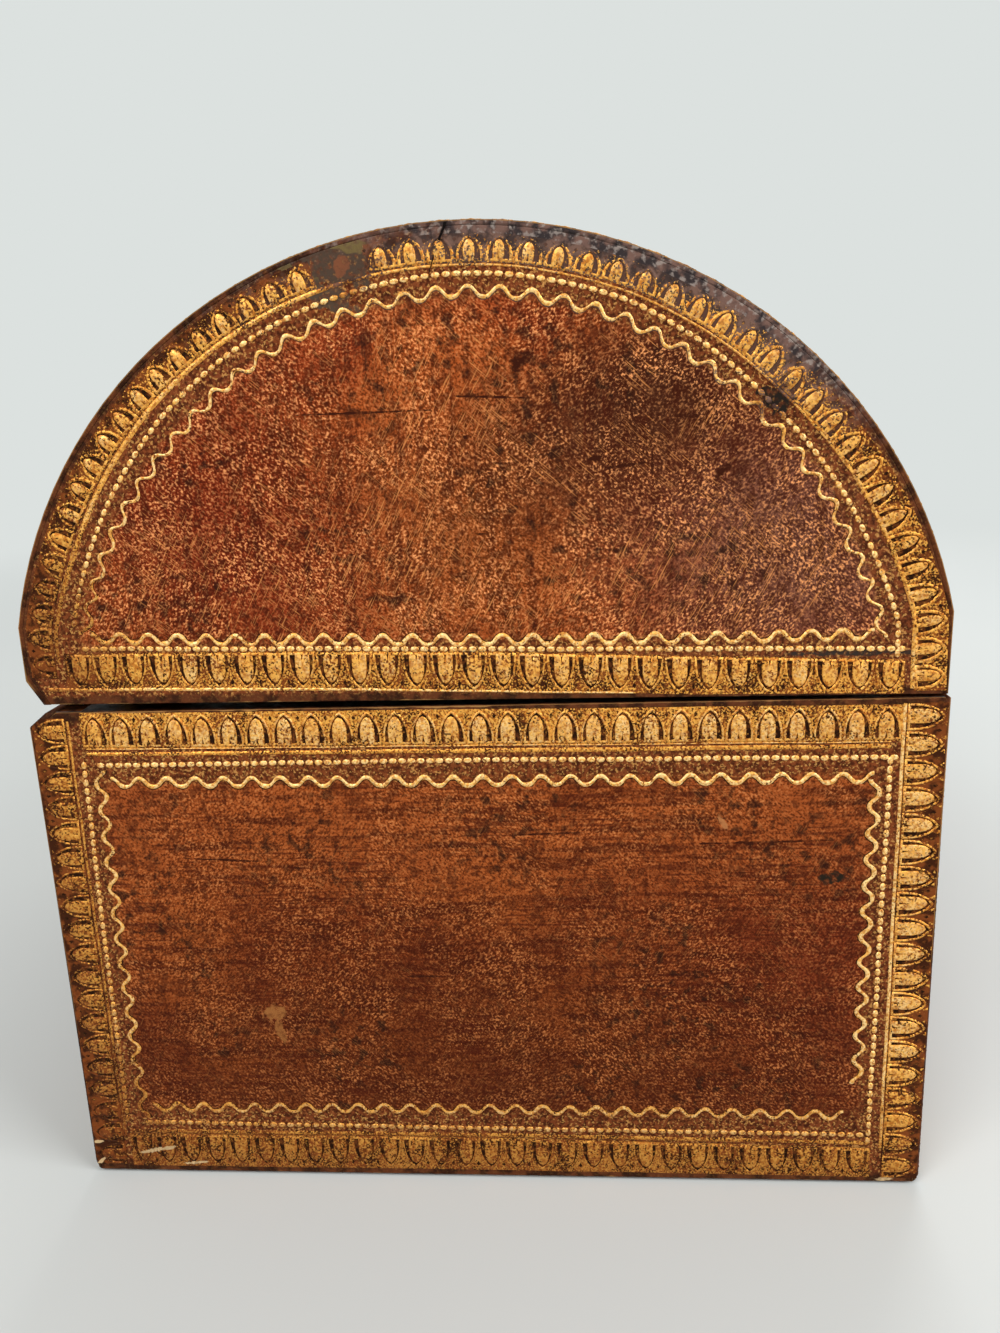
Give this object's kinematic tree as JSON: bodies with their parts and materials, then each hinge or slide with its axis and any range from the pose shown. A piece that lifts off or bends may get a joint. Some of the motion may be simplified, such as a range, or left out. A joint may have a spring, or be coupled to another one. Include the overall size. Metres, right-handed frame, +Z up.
{
  "type": "domed box",
  "caption": "Domed casket for papers and keepsakes: a lapped wooden carcass covered in gilt-tooled brown leather, lined with paper, with a barrel lid on butt hinges along the back.",
  "frame": {"origin": "centre of the footprint, on the underside that the box stands on", "axes": "+X towards the front, where the lid opens, -X the hinged back, Y along the length with the pictured end at -Y, +Z up"},
  "size_m": [0.15, 0.22, 0.1624],
  "materials": {
    "tooled_leather": "satin, worn, gilt borders",
    "carcass_wood": "planed, bare",
    "lining_paper": "marbled, matt",
    "underside_felt": "felted",
    "hinge_brass": "aged, dull",
    "brad_steel": "drawn wire"
  },
  "bodies": {
    "base": {"base_bottom_board": "carcass_wood", "base_front_board": "carcass_wood", "base_back_board": "carcass_wood", "base_left_end_board": "carcass_wood", "base_right_end_board": "carcass_wood", "base_front_leather": "tooled_leather", "base_back_leather": "tooled_leather", "base_left_end_leather": "tooled_leather", "base_right_end_leather": "tooled_leather", "base_underside_sheet": "underside_felt", "base_floor_lining": "lining_paper", "base_front_lining": "lining_paper", "base_back_lining": "lining_paper", "base_left_end_lining": "lining_paper", "base_right_end_lining": "lining_paper", "base_corner_brads": "brad_steel", "base_bottom_brads": "brad_steel", "left_hinge_base_leaf": "hinge_brass", "right_hinge_base_leaf": "hinge_brass", "left_hinge_pin": "hinge_brass", "right_hinge_pin": "hinge_brass", "hinge_base_screws": "hinge_brass"},
    "lid": {"lid_left_end_board": "carcass_wood", "lid_right_end_board": "carcass_wood", "lid_front_rail": "carcass_wood", "lid_back_rail": "carcass_wood", "lid_stave_1": "carcass_wood", "lid_stave_2": "carcass_wood", "lid_stave_3": "carcass_wood", "lid_stave_4": "carcass_wood", "lid_stave_5": "carcass_wood", "lid_stave_6": "carcass_wood", "lid_stave_7": "carcass_wood", "lid_dome_leather": "tooled_leather", "lid_left_end_leather": "tooled_leather", "lid_right_end_leather": "tooled_leather", "lid_dome_lining": "lining_paper", "lid_left_end_lining": "lining_paper", "lid_right_end_lining": "lining_paper", "lid_brads": "brad_steel", "left_hinge_lid_leaf": "hinge_brass", "right_hinge_lid_leaf": "hinge_brass", "hinge_lid_screws": "hinge_brass"}
  },
  "joints": [
    {"name": "lid_hinge", "type": "hinge", "parent": "base", "child": "lid", "pos_m": [-0.07111, 0, 0.08946], "axis": [0, -1, 0], "range_deg": [0, 94]}
  ]
}
